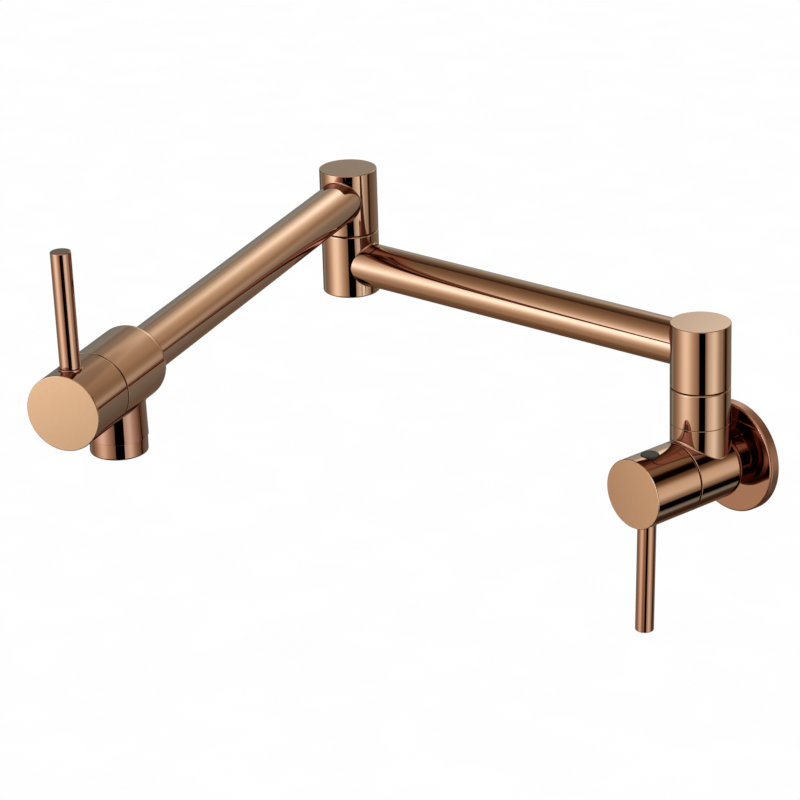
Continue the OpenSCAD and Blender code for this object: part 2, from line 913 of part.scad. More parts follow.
module riser_o_rings() {
  color(rubber)
    at_riser()
      o_pair(swivel_r, swivel_foot_z, nut_thread_top, swivel_o_ring_t);
}

module inner_tube() {
  color(rose_gold)
    along_inner()
      swing_tube(inner_reach)
        translate([0, 0, inner_reach])
          upright(tube_seat_r);
}

// Lower knuckle of the elbow: journal bore above, chamber at the tube, ledge for the foot below
module elbow_lower_knuckle() {
  color(rose_gold)
    difference() {
      at_elbow()
        turned(knuckle_r, elbow_bottom_z, elbow_seam_z - half_swing_seam, foot_round, lip_round);
      at_elbow() {
        rod(elbow_journal_r + turning_fit, journal_z - over, elbow_seam_z + over);
        rod(chamber_r, inner_floor_z, journal_z);
        rod(elbow_foot_r + turning_fit, elbow_ledge_z - over, inner_floor_z + over);
        rod(chamber_r, elbow_bottom_z - over, elbow_ledge_z);
      }
      along_inner()
        translate([0, 0, inner_reach])
          mirror([0, 0, 1])
            tube_mouth();
    }
}

module elbow_bottom_plug() {
  top = bottom_plug_z + bottom_plug_t;
  color(raw_brass)
    at_elbow()
      difference() {
        rod(bottom_plug_r, bottom_plug_z, top);
        hexagon(bottom_socket_af, bottom_plug_z - over, bottom_plug_z + bottom_socket_deep);
        o_groove(bottom_plug_r, (bottom_plug_z + top) / 2, bottom_o_ring_t);
      }
}

module elbow_plug_o_ring() {
  color(rubber)
    at_elbow()
      o_ring(bottom_plug_r, bottom_plug_z + bottom_plug_t / 2, bottom_o_ring_t);
}

module elbow_glide_ring() {
  color(rubber)
    at_elbow()
      pipe(knuckle_r - glide_recess, elbow_journal_r + free_gap,
           elbow_seam_z - half_swing_seam, elbow_seam_z + half_swing_seam - turning_fit);
}

// Upper knuckle of the elbow
module elbow_upper_knuckle() {
  color(rose_gold)
    difference() {
      at_elbow()
        turned(knuckle_r, elbow_seam_z + half_swing_seam, elbow_seam_z + elbow_upper_h, seam_edge, edge);
      at_elbow() {
        rod(elbow_journal_r + fixed_fit, elbow_seam_z, outer_floor_z + over);
        rod(chamber_r, outer_floor_z, outer_z + tube_bore_r + chamber_spare);
      }
      along_outer()
        tube_mouth();
    }
}

// Swivel of the elbow: thread and journal above, ported stem, foot with the snap ring's groove
module elbow_swivel() {
  color(raw_brass)
    at_elbow()
      difference() {
        union() {
          rod(elbow_journal_r, journal_z + free_gap, outer_floor_z);
          rod(elbow_stem_r, inner_floor_z + turning_fit, outer_floor_z);
          rod(elbow_foot_r, elbow_foot_z, outer_floor_z);
        }
        rod(elbow_bore_d / 2, inner_floor_z + turning_fit + elbow_floor, outer_floor_z + over);
        for (turn = [0, 90])
          translate([0, 0, inner_z])
            rotate([90, 0, turn])
              rod(elbow_port_d / 2, -elbow_stem_r - over, elbow_stem_r + over);
        o_pair(elbow_journal_r, journal_z + free_gap, elbow_seam_z - half_swing_seam,
               swivel_o_ring_t, cut = true);
        pipe(elbow_foot_r + over, snap_seat_r, snap_ring_z, snap_ring_z + snap_ring_t);
      }
}

module elbow_o_rings() {
  color(rubber)
    at_elbow()
      o_pair(elbow_journal_r, journal_z + free_gap, elbow_seam_z - half_swing_seam, swivel_o_ring_t);
}

module elbow_snap_ring() {
  outer_r = snap_seat_r + snap_ring_w;
  color(steel)
    at_elbow()
      difference() {
        pipe(outer_r, snap_seat_r + fixed_fit, snap_ring_z, snap_ring_z + snap_ring_t);
        translate([0, -snap_ring_gap / 2, snap_ring_z - over])
          cube([outer_r + over, snap_ring_gap, snap_ring_t + 2 * over]);
      }
}

module outer_tube() {
  color(rose_gold)
    along_outer()
      swing_tube(spout_back + tube_socket);
}

// Spout body: the lying valve body with the outlet below it
module spout_body() {
  thread_r = aerator_thread_r + fixed_fit;
  color(rose_gold)
    difference() {
      union() {
        spout_axis()
          turned(body_r, spout_back, spout_front - half_cap_seam, shoulder_round, seam_edge);
        at_outlet()
          translate([0, 0, outlet_seam_z])
            cylinder(r1 = outlet_r, r2 = outlet_top_d / 2, h = outlet_drop);
      }
      spout_axis(spout_front)
        valve_pocket(spout_back - spout_front);
      spout_axis()
        rod(tube_r + fixed_fit, spout_back - over, spout_back + tube_socket);
      spout_axis()
        radial(spout_front - port_back, -1)
          rod(port_r, 0, riser_floor_z + over);
      at_outlet() {
        rod(thread_r, outlet_seam_z - over, outlet_seam_z + aerator_thread_h + aerator_washer_t);
        rod(outlet_bore_d / 2, outlet_seam_z, outer_z - riser_floor_z);
      }
    }
}

module spout_headwork() {
  spout_axis(spout_front)
    headwork();
}

module spout_headwork_o_ring() {
  spout_axis(spout_front)
    headwork_o_ring();
}

module spout_seat_seal() {
  spout_axis(spout_front)
    seat_seal();
}

module spout_fixed_disc() {
  spout_axis(spout_front)
    fixed_disc();
}

module aerator_housing() {
  top = outlet_seam_z + aerator_thread_h;
  color(rose_gold)
    at_outlet()
      difference() {
        union() {
          turned(aerator_d / 2, mouth_z, outlet_seam_z, aerator_round, seam_edge);
          rod(aerator_thread_r, outlet_seam_z - over, top);
        }
        rod(mouth_d / 2, mouth_z - over, mouth_z + mouth_lip + over);
        rod(insert_r + fixed_fit, mouth_z + mouth_lip, top + over);
      }
}

// Jet holes on a hexagonal grid, from the middle out to the last ring
module jets(z0, z1) {
  for (row = [-jet_rings : jet_rings])
    for (place = [-jet_rings : jet_rings])
      if (abs(row + place) <= jet_rings)
        translate([(place + row / 2) * jet_pitch, row * jet_pitch * sin(60), 0])
          rod(jet_d / 2, z0, z1);
}

module aerator_insert() {
  floor_z = mouth_z + mouth_lip;
  top = outlet_seam_z + aerator_thread_h - screen_t;
  color(white_plastic)
    at_outlet()
      difference() {
        rod(insert_r, floor_z, top);
        rod(insert_r - insert_wall, floor_z + jet_plate_t, top + over);
        jets(floor_z - over, floor_z + jet_plate_t + over);
      }
}

module aerator_screen() {
  top = outlet_seam_z + aerator_thread_h;
  color(grey_plastic)
    at_outlet()
      difference() {
        rod(insert_r, top - screen_t, top);
        for (hole = [0 : screen_holes - 1])
          rotate([0, 0, hole * 360 / screen_holes])
            translate([screen_hole_out, 0, 0])
              rod(screen_hole_d / 2, top - screen_t - over, top + over);
      }
}

module aerator_washer() {
  floor_z = outlet_seam_z + aerator_thread_h;
  color(rubber)
    at_outlet()
      pipe(aerator_thread_r, insert_r - insert_wall, floor_z, floor_z + aerator_washer_t);
}

module spout_spindle() {
  spout_handle_frame()
    spindle();
}

module spout_spindle_o_rings() {
  spout_handle_frame()
    spindle_o_rings();
}

module spout_moving_disc() {
  spout_handle_frame()
    moving_disc();
}

module spout_handle_cap() {
  spout_handle_frame()
    handle_cap(1);
}

module spout_lever() {
  spout_handle_frame()
    lever(1, spout_lever_reach);
}

module spout_grub_screw() {
  spout_handle_frame()
    grub_screw(1);
}

module spout_screw_plug() {
  spout_handle_frame()
    screw_plug(1);
}

wall_flange();
flange_gasket();
flange_o_ring();
valve_body();
inlet_nipple();
inlet_washer();
wall_headwork();
wall_headwork_o_ring();
wall_seat_seal();
wall_fixed_disc();
riser_nut();
riser_slip_washers();
riser_glide_ring();
wall_spindle();
wall_spindle_o_rings();
wall_moving_disc();
wall_handle_cap();
wall_lever();
wall_grub_screw();
wall_screw_plug();
inner_knuckle();
riser_swivel();
riser_o_rings();
inner_tube();
elbow_lower_knuckle();
elbow_bottom_plug();
elbow_plug_o_ring();
elbow_glide_ring();
elbow_upper_knuckle();
elbow_swivel();
elbow_o_rings();
elbow_snap_ring();
outer_tube();
spout_body();
spout_headwork();
spout_headwork_o_ring();
spout_seat_seal();
spout_fixed_disc();
aerator_housing();
aerator_insert();
aerator_screen();
aerator_washer();
spout_spindle();
spout_spindle_o_rings();
spout_moving_disc();
spout_handle_cap();
spout_lever();
spout_grub_screw();
spout_screw_plug();
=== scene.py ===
import json
import math

import bmesh
import bpy
from mathutils import Matrix, Vector

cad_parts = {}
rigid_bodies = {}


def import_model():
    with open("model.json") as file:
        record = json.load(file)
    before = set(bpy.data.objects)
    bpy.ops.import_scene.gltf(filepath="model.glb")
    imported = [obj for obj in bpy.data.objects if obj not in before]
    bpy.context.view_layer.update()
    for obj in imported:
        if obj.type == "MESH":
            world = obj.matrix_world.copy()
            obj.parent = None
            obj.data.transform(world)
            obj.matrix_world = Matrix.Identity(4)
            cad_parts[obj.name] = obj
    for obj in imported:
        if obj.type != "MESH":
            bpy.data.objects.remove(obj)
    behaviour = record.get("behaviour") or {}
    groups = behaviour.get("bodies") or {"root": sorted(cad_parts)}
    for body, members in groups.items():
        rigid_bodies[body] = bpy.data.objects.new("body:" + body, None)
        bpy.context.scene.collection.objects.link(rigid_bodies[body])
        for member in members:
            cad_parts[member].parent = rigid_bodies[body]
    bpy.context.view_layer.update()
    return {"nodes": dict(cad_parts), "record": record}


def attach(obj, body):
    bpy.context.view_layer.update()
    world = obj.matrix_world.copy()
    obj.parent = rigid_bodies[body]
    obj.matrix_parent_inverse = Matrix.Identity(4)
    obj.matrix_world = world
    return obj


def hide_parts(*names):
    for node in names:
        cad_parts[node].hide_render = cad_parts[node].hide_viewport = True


MM = 0.001
UP = (0.0, 0.0, 1.0)


def clear_startup():
    """Takes out the cube, lamp and camera that a new file starts with."""
    for thing in list(bpy.data.objects):
        bpy.data.objects.remove(thing, do_unlink=True)


clear_startup()
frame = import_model()
nodes = frame["nodes"]


# camera
CAMERA_AZIMUTH = 49.20
CAMERA_ELEVATION = 21.59
CAMERA_ROLL = -1.74
CAMERA_DISTANCE = 1846.82 * MM
CAMERA_LENS = 156.357
TARGET_RIGHT = -179.01 * MM
TARGET_UP = 28.48 * MM
SENSOR_WIDTH = 36.0
CLIP_FAR = 50.0


def make_camera():
    """The camera of the photo, aimed by how far its target lies right of and above
    the origin."""
    azimuth = math.radians(CAMERA_AZIMUTH)
    elevation = math.radians(CAMERA_ELEVATION)
    roll = math.radians(CAMERA_ROLL)
    back = Vector((
        math.sin(azimuth) * math.cos(elevation),
        -math.cos(azimuth) * math.cos(elevation),
        math.sin(elevation),
    ))
    level = Vector((math.cos(azimuth), math.sin(azimuth), 0.0))
    upright = back.cross(level)
    right = level * math.cos(roll) + upright * math.sin(roll)
    up = upright * math.cos(roll) - level * math.sin(roll)
    place = back * CAMERA_DISTANCE + right * TARGET_RIGHT + up * TARGET_UP
    data = bpy.data.cameras.new("camera")
    data.lens = CAMERA_LENS
    data.sensor_width = SENSOR_WIDTH
    data.clip_end = CLIP_FAR
    camera = bpy.data.objects.new("camera", data)
    bpy.context.scene.collection.objects.link(camera)
    turn = Matrix((right, up, back)).transposed().to_4x4()
    camera.matrix_world = Matrix.Translation(place) @ turn
    bpy.context.scene.camera = camera


# node helpers
class Net:
    """A node tree with short names for the nodes that it uses."""

    def __init__(self, tree):
        self.tree = tree
        self.links = tree.links
        tree.nodes.clear()

    def add(self, kind, **settings):
        node = self.tree.nodes.new(kind)
        for name, value in settings.items():
            setattr(node, name, value)
        return node

    def plug(self, value, socket):
        if isinstance(value, bpy.types.NodeSocket):
            self.links.new(value, socket)
        elif value is not None:
            socket.default_value = value

    def math(self, operation, *values, clamp=False):
        node = self.add("ShaderNodeMath", operation=operation, use_clamp=clamp)
        for value, socket in zip(values, node.inputs):
            self.plug(value, socket)
        return node.outputs[0]

    def vector(self, operation, *values, scale=None):
        node = self.add("ShaderNodeVectorMath", operation=operation)
        for value, socket in zip(values, node.inputs):
            self.plug(value, socket)
        if scale is not None:
            self.plug(scale, node.inputs["Scale"])
        scalar = operation in ("DOT_PRODUCT", "LENGTH", "DISTANCE")
        return node.outputs["Value" if scalar else "Vector"]

    def span(self, value, low, high, out_low=0.0, out_high=1.0, smooth=True):
        kind = "SMOOTHSTEP" if smooth else "LINEAR"
        node = self.add("ShaderNodeMapRange", interpolation_type=kind)
        for item, name in (
            (value, "Value"), (low, "From Min"), (high, "From Max"),
            (out_low, "To Min"), (out_high, "To Max"),
        ):
            self.plug(item, node.inputs[name])
        return node.outputs[0]

    def noise(self, place, scale, detail=3.0, roughness=0.5):
        node = self.add("ShaderNodeTexNoise", noise_dimensions="3D")
        self.plug(place, node.inputs["Vector"])
        node.inputs["Scale"].default_value = scale
        node.inputs["Detail"].default_value = detail
        node.inputs["Roughness"].default_value = roughness
        return node.outputs[0]

    def mix(self, share, first, second):
        node = self.add("ShaderNodeMix", data_type="RGBA")
        self.plug(share, node.inputs[0])
        self.plug(first, node.inputs[6])
        self.plug(second, node.inputs[7])
        return node.outputs[2]

    def bump(self, height, strength, distance, normal=None):
        node = self.add("ShaderNodeBump")
        node.inputs["Strength"].default_value = strength
        node.inputs["Distance"].default_value = distance
        self.plug(height, node.inputs["Height"])
        self.plug(normal, node.inputs["Normal"])
        return node.outputs[0]

    def squeezed(self, place, factors):
        return self.vector("MULTIPLY", place, factors)


# studio
# Directions are azimuths from +X towards +Y, and elevations, in degrees.
# Round soft lights: azimuth and elevation of the middle, the angle from there at
# which the light has halved, and its strength
KEY_LIGHT = (-101.1, 1.1, 23.2, 1.68)
RIGHT_LIGHT = (7.7, -19.4, 21.2, 0.77)
BACK_GLOW = (118.0, 14.0, 42.0, 0.47)
RIGHT_SHOULDER = (-14.0, -22.0, 9.0, 0.20)
KEY_SHOULDER = (-64.0, -27.0, 8.0, 0.05)
KEY_CORE = (-118.0, -4.0, 7.0, 0.28)
KEY_FOOT = (-136.0, -44.0, 9.0, 0.10)
LOW_GLOW = (166.0, -50.0, 12.0, 0.12)
LEFT_GLOW = (179.0, -21.0, 5.0, 0.15)
HORIZON_GLOW = (79.5, 0.0, 5.0, 0.26)
LOW_SPARK = (70.0, -46.0, 6.0, 0.10)
HIGH_SPARK = (72.0, 46.0, 6.0, 0.08)
TOP_SPARK = (131.5, 19.5, 3.5, 0.15)
# Wide overhead light with a firm edge, seen in the metal mostly from other sides than
# the camera's: azimuth and elevation of the middle, reach and strength
OVERHEAD_LIGHT = (-40.0, 62.0, 40.0, 0.60)
# Azimuths at which the key light ends and the right light starts, and half the width
# of both edges
KEY_ENDS = -50.5
RIGHT_STARTS = -28.0
FLAG_EDGE = 2.0
# Black bars above and below the strip light: azimuth, half width, elevation up
# or down, and half height
BARS = (52.0, 11.0, 34.0, 7.0)
# Upright strip light: azimuth, half width, half height and strength
STRIP_LIGHT = (41.5, 7.0, 18.0, 0.40)
# Round dark flags: azimuth and elevation of the middle, half width, and the share
# of the light that each takes away
DARK_FLAGS = (
    (-78.0, -46.0, 20.0, 1.0), (-78.0, 46.0, 20.0, 1.0), (140.0, 31.0, 12.0, 0.45),
    (92.0, -50.0, 12.0, 0.6),
)
# What the room takes off the sum of the lights, and the gain and power of each colour,
# by which the light warms as it dims
ROOM_SHADE = 0.14
RED_GAIN = 1.283
GREEN_GAIN = 1.236
GREEN_POWER = 1.236
BLUE_GAIN = 1.174
BLUE_POWER = 1.50
# Cooler patches of the room: middle, how far they reach, and how much they cool
COOL_PATCHES = (
    (148.0, 6.0, 36.0, 1.0), (8.0, -20.0, 30.0, 0.5), (80.0, 0.0, 9.0, 0.2),
    (178.0, -21.0, 14.0, 1.0), (66.0, -44.0, 9.0, 0.9), (88.0, -22.0, 17.0, 0.6),
)
COOL_GREEN_GAIN = 1.37
COOL_BLUE_GAIN = 1.31
# How firm the edges are: of the strip light's ends, bars, dark flags and overhead light
STRIP_END_POWER = 4.0
BAR_POWER = 8.0
FLAG_POWER = 6.0
OVERHEAD_POWER = 4.0
ROUND_POWER = 2.0
# The ray depth that the first reflection in the metal has
FIRST_REFLECTION = 2.0
# What is left of the red, green and blue at each further bounce from metal to metal
BOUNCE_SHARES = (0.42, 0.30, 0.34)
# Spot behind the elbow, which fades along the outer arm: its heading from the
# elbow, how far off it stands, the half width at which it has halved, and its strength
SPOT_HEADING = (110.2, 30.5)
SPOT_FROM = (-0.237, -0.063, 0.105)
SPOT_DISTANCE = 1.0
SPOT_HALF = 0.20
SPOT_STRENGTH = 0.81
# Gain and power of its red, green and blue
SPOT_TINT = ((1.27, 1.0), (1.42, 1.12), (1.50, 1.28))
# Where the fade along the arm begins and ends on the card, the card's fade on the
# other side, and the size of the card
SPOT_FADE = (0.0, 0.345)
SPOT_CUT = (0.215, 0.262)
SPOT_RISE = (-0.30, -0.05)
SPOT_CARD = 1.6
# Share of the card's half size from which the glow fades to the card's edge
SPOT_EDGE = 0.6
# Direction of the outer arm from the elbow to the outlet
OUTER_ARM = (0.441506, -0.897258, 0.0)


def heading(azimuth, elevation):
    azimuth = math.radians(azimuth)
    elevation = math.radians(elevation)
    level = math.cos(elevation)
    return (level * math.cos(azimuth), level * math.sin(azimuth), math.sin(elevation))


def make_world():
    world = bpy.data.worlds.new("studio")
    world.use_nodes = True
    bpy.context.scene.world = world
    net = Net(world.node_tree)
    way = net.add("ShaderNodeTexCoord").outputs["Generated"]
    parts = net.add("ShaderNodeSeparateXYZ")
    net.plug(way, parts.inputs[0])
    degrees = 180.0 / math.pi
    azimuth = net.math("ARCTAN2", parts.outputs[1], parts.outputs[0])
    azimuth = net.math("MULTIPLY", azimuth, degrees)
    elevation = net.math("ARCSINE", parts.outputs[2])
    elevation = net.math("MULTIPLY", elevation, degrees)

    def ball(light):
        middle, height, half, strength = light
        near = net.vector("DOT_PRODUCT", way, heading(middle, height))
        away = net.math("ARCCOSINE", near)
        away = net.math("MULTIPLY", away, degrees / half)
        away = net.math("MULTIPLY", away, away)
        return net.math("DIVIDE", strength, net.math("ADD", away, 1.0))

    def bell(value, middle, half, power):
        away = net.math("DIVIDE", net.math("SUBTRACT", value, middle), half)
        away = net.math("POWER", net.math("ABSOLUTE", away), power)
        return net.math("EXPONENT", net.math("MULTIPLY", away, -1.0))

    key = net.math("MULTIPLY", ball(KEY_LIGHT), net.span(
        azimuth, KEY_ENDS - FLAG_EDGE, KEY_ENDS + FLAG_EDGE, 1.0, 0.0
    ))
    right = net.math("MULTIPLY", ball(RIGHT_LIGHT), net.span(
        azimuth, RIGHT_STARTS - FLAG_EDGE, RIGHT_STARTS + FLAG_EDGE
    ))
    middle, half, tall, strength = STRIP_LIGHT
    strip = net.math("MULTIPLY", bell(azimuth, middle, half, ROUND_POWER), strength)
    strip = net.math("MULTIPLY", strip, bell(elevation, 0.0, tall, STRIP_END_POWER))
    glow = net.math("ADD", net.math("ADD", key, right), strip)
    for light in (
        BACK_GLOW, LOW_GLOW, LEFT_GLOW, HORIZON_GLOW, RIGHT_SHOULDER, KEY_SHOULDER,
        KEY_CORE, KEY_FOOT, LOW_SPARK, HIGH_SPARK, TOP_SPARK,
    ):
        glow = net.math("ADD", glow, ball(light))
    glow = net.math("SUBTRACT", glow, ROOM_SHADE)
    middle, half, height, tall = BARS
    bars = bell(net.math("ABSOLUTE", elevation), height, tall, BAR_POWER)
    bars = net.math("MULTIPLY", bars, bell(azimuth, middle, half, BAR_POWER))
    glow = net.math("MULTIPLY", glow, net.math("SUBTRACT", 1.0, bars))
    for middle, height, wide, depth in DARK_FLAGS:
        near = net.vector("DOT_PRODUCT", way, heading(middle, height))
        flag = bell(net.math("ARCCOSINE", near), 0.0, math.radians(wide), FLAG_POWER)
        flag = net.math("MULTIPLY", flag, depth)
        glow = net.math("MULTIPLY", glow, net.math("SUBTRACT", 1.0, flag))
    middle, height, wide, strength = OVERHEAD_LIGHT
    near = net.vector("DOT_PRODUCT", way, heading(middle, height))
    over = bell(net.math("ARCCOSINE", near), 0.0, math.radians(wide), OVERHEAD_POWER)
    glow = net.math("ADD", glow, net.math("MULTIPLY", over, strength))
    glow = net.math("MAXIMUM", glow, 0.0)
    cool = 0.0
    for middle, height, reach, share in COOL_PATCHES:
        near = net.vector("DOT_PRODUCT", way, heading(middle, height))
        near = net.math("ARCCOSINE", near)
        patch = bell(near, 0.0, math.radians(reach), ROUND_POWER)
        cool = net.math("ADD", cool, net.math("MULTIPLY", patch, share))
    tint = net.add("ShaderNodeCombineXYZ")
    net.plug(net.math("MULTIPLY", glow, RED_GAIN), tint.inputs[0])
    rays = net.add("ShaderNodeLightPath")
    bounces = net.math("SUBTRACT", rays.outputs["Ray Depth"], FIRST_REFLECTION)
    bounces = net.math("MAXIMUM", bounces, 0.0)
    for place, power, gain, cool_gain in (
        (1, GREEN_POWER, GREEN_GAIN, COOL_GREEN_GAIN),
        (2, BLUE_POWER, BLUE_GAIN, COOL_BLUE_GAIN),
    ):
        warm_part = net.math("MULTIPLY", net.math("POWER", glow, power), gain)
        cool_part = net.math("MULTIPLY", glow, cool_gain)
        share = net.add("ShaderNodeMix", data_type="FLOAT")
        net.plug(cool, share.inputs[0])
        net.plug(warm_part, share.inputs[2])
        net.plug(cool_part, share.inputs[3])
        net.plug(share.outputs[0], tint.inputs[place])
    losses = net.add("ShaderNodeCombineXYZ")
    for socket, share in zip(losses.inputs, BOUNCE_SHARES):
        net.plug(net.math("POWER", share, bounces), socket)
    studio = net.add("ShaderNodeBackground")
    net.plug(
        net.vector("MULTIPLY", tint.outputs[0], losses.outputs[0]),
        studio.inputs["Color"]
    )
    backdrop = net.add("ShaderNodeBackground")
    backdrop.inputs["Color"].default_value = (1.0, 1.0, 1.0, 1.0)
    choice = net.add("ShaderNodeMixShader")
    net.plug(rays.outputs["Is Camera Ray"], choice.inputs[0])
    net.links.new(studio.outputs[0], choice.inputs[1])
    net.links.new(backdrop.outputs[0], choice.inputs[2])
    out = net.add("ShaderNodeOutputWorld")
    net.links.new(choice.outputs[0], out.inputs[0])


FLOOR_DROP = 2.6
FLOOR_SIZE = 40.0
# Scale of the floor's faint cloud, and how dark it gets
FLOOR_GRAIN = 6.0
FLOOR_DIM = 0.985


def sheet(name, corners):
    mesh = bpy.data.meshes.new(name)
    mesh.from_pydata(corners, [], [(0, 1, 2, 3)])
    return mesh


def flat(half, low, high):
    return [(-half, low, 0), (half, low, 0), (half, high, 0), (-half, high, 0)]


def make_floor():
    """A pale floor below the tap, which the metal doesn't reflect."""
    half = FLOOR_SIZE / 2
    mesh = sheet("floor", flat(half, -half, half))
    floor = bpy.data.objects.new("floor", mesh)
    floor.location = (0.0, 0.0, -FLOOR_DROP)
    bpy.context.scene.collection.objects.link(floor)
    material = bpy.data.materials.new("floor_white")
    material.use_nodes = True
    net = Net(material.node_tree)
    glow = net.add("ShaderNodeEmission")
    place = net.add("ShaderNodeTexCoord").outputs["Object"]
    grain = net.span(net.noise(place, FLOOR_GRAIN), 0.3, 0.7, FLOOR_DIM, 1.0)
    net.plug(grain, glow.inputs["Strength"])
    out = net.add("ShaderNodeOutputMaterial")
    net.links.new(glow.outputs[0], out.inputs[0])
    mesh.materials.append(material)
    floor.visible_glossy = False
    floor.visible_diffuse = False
    floor.visible_transmission = False
    floor.visible_shadow = False


def make_spot():
    """A glowing card behind the elbow that adds to what stands behind it."""
    half = SPOT_CARD / 2
    mesh = sheet("spot", flat(half, -half, half))
    spot = bpy.data.objects.new("spot", mesh)
    way = Vector(heading(*SPOT_HEADING))
    along = (Vector(OUTER_ARM) - way * way.dot(Vector(OUTER_ARM))).normalized()
    turn = Matrix((along, way.cross(along), way)).transposed().to_4x4()
    place = Vector(SPOT_FROM) + way * SPOT_DISTANCE
    spot.matrix_world = Matrix.Translation(place) @ turn
    bpy.context.scene.collection.objects.link(spot)
    material = bpy.data.materials.new("spot_glow")
    material.use_nodes = True
    net = Net(material.node_tree)
    place = net.add("ShaderNodeTexCoord").outputs["Object"]
    parts = net.add("ShaderNodeSeparateXYZ")
    net.plug(place, parts.inputs[0])
    away = net.math("DIVIDE", parts.outputs[1], SPOT_HALF)
    shine = net.math("ADD", net.math("MULTIPLY", away, away), 1.0)
    shine = net.math("DIVIDE", SPOT_STRENGTH, shine)
    fade = net.span(net.vector("LENGTH", place), SPOT_EDGE * half, half, 1.0, 0.0)
    low, high = SPOT_FADE
    fade = net.math("MULTIPLY", fade, net.span(
        parts.outputs[0], low, high, 1.0, 0.0, smooth=False
    ))
    low, high = SPOT_CUT
    fade = net.math("MULTIPLY", fade, net.span(parts.outputs[0], low, high, 1.0, 0.0))
    low, high = SPOT_RISE
    fade = net.math("MULTIPLY", fade, net.span(parts.outputs[0], low, high))
    shine = net.math("MULTIPLY", shine, fade)
    tint = net.add("ShaderNodeCombineXYZ")
    for socket, (gain, power) in zip(tint.inputs, SPOT_TINT):
        net.plug(net.math("MULTIPLY", net.math("POWER", shine, power), gain), socket)
    glow = net.add("ShaderNodeEmission")
    net.plug(tint.outputs[0], glow.inputs["Color"])
    clear = net.add("ShaderNodeBsdfTransparent")
    both = net.add("ShaderNodeAddShader")
    net.links.new(glow.outputs[0], both.inputs[0])
    net.links.new(clear.outputs[0], both.inputs[1])
    out = net.add("ShaderNodeOutputMaterial")
    net.links.new(both.outputs[0], out.inputs[0])
    mesh.materials.append(material)
    spot.visible_camera = False
    spot.visible_shadow = False


# Upright dark cards: the foot of the middle, which way the card runs, half its width,
# bottom and top, and the power of its edge. The first stands at the right of the
# camera, and the second is the dark post behind the tap.
CARDS = {
    "card_front": ((1.103, -0.812), (-0.34, -0.94), 0.165, -1.2, 0.15, 16.0),
    "card_post": ((0.296, 0.529), (-0.83, 0.56), 0.086, -0.50, -0.07, 2.0),
}
# A card with an edge softer than this power is made wider, to hold the whole of it
FIRM_POWER = 8.0
SOFT_REACH = 2.4


def make_card(name):
    foot, run, half, low, high, power = CARDS[name]
    reach = SOFT_REACH * half if power < FIRM_POWER else half
    corners = [(-reach, 0, low), (reach, 0, low), (reach, 0, high), (-reach, 0, high)]
    mesh = sheet(name, corners)
    card = bpy.data.objects.new(name, mesh)
    card.location = (*foot, 0.0)
    card.rotation_euler = (0.0, 0.0, math.atan2(run[1], run[0]))
    bpy.context.scene.collection.objects.link(card)
    material = bpy.data.materials.new(name)
    material.use_nodes = True
    net = Net(material.node_tree)
    parts = net.add("ShaderNodeSeparateXYZ")
    net.plug(net.add("ShaderNodeTexCoord").outputs["Object"], parts.inputs[0])
    away = net.math("ABSOLUTE", net.math("DIVIDE", parts.outputs[0], half))
    away = net.math("POWER", away, power)
    hold = net.math("EXPONENT", net.math("MULTIPLY", away, -1.0))
    black = net.add("ShaderNodeEmission")
    black.inputs["Color"].default_value = (0.0, 0.0, 0.0, 1.0)
    choice = net.add("ShaderNodeMixShader")
    net.plug(hold, choice.inputs[0])
    net.links.new(net.add("ShaderNodeBsdfTransparent").outputs[0], choice.inputs[1])
    net.links.new(black.outputs[0], choice.inputs[2])
    out = net.add("ShaderNodeOutputMaterial")
    net.links.new(choice.outputs[0], out.inputs[0])
    mesh.materials.append(material)
    card.visible_camera = False
    card.visible_shadow = False


# materials
def new_material(name):
    material = bpy.data.materials.new(name)
    material.use_nodes = True
    net = Net(material.node_tree)
    shader = net.add("ShaderNodeBsdfPrincipled")
    out = net.add("ShaderNodeOutputMaterial")
    net.links.new(shader.outputs[0], out.inputs[0])
    return material, net, shader


# Scales of the plating's noises, in cells for each metre: smudges, colour cloud, pits,
# hairs along each axis, and the waver of turned faces
SMUDGE_SCALE = 38.0
CLOUD_SCALE = 9.0
PIT_SCALE = 900.0
HAIR_SCALE = (260.0, 260.0, 2200.0)
WAVER_SCALE = 420.0
# Roughness of the polish, from clean to smudged, and what pits and waver add
POLISH_CLEAN = 0.030
POLISH_SMUDGED = 0.060
PIT_ROUGH = 0.03
WAVER_ROUGH = 0.05
# How square to its axis a face is where it begins to be turned satin, and where it is
FACE_BEGINS = 0.995
FACE_FULL = 0.9995
ROSE_LIGHT = (0.790, 0.540, 0.390, 1.0)
ROSE_DEEP = (0.765, 0.520, 0.375, 1.0)
# How much rougher the skin beyond the rim is, and how wide the change is
RIM_ROUGH = 0.34
RIM_BLEND = 0.6 * MM
# Fine polishing hairs: strength and depth of their relief
HAIR_STRENGTH = 0.004
HAIR_DEPTH = 0.05 * MM
# Turned faces: distance from ring to ring, strength and depth of their relief
RING_PITCH = 0.22 * MM
RING_STRENGTH = 0.02
RING_DEPTH = 0.02 * MM
# Where the painted shade on a branch begins and is full, outside the bar that it stands on
BRANCH_SHADE_BEGINS = 0.1 * MM
BRANCH_SHADE_FULL = 0.5 * MM


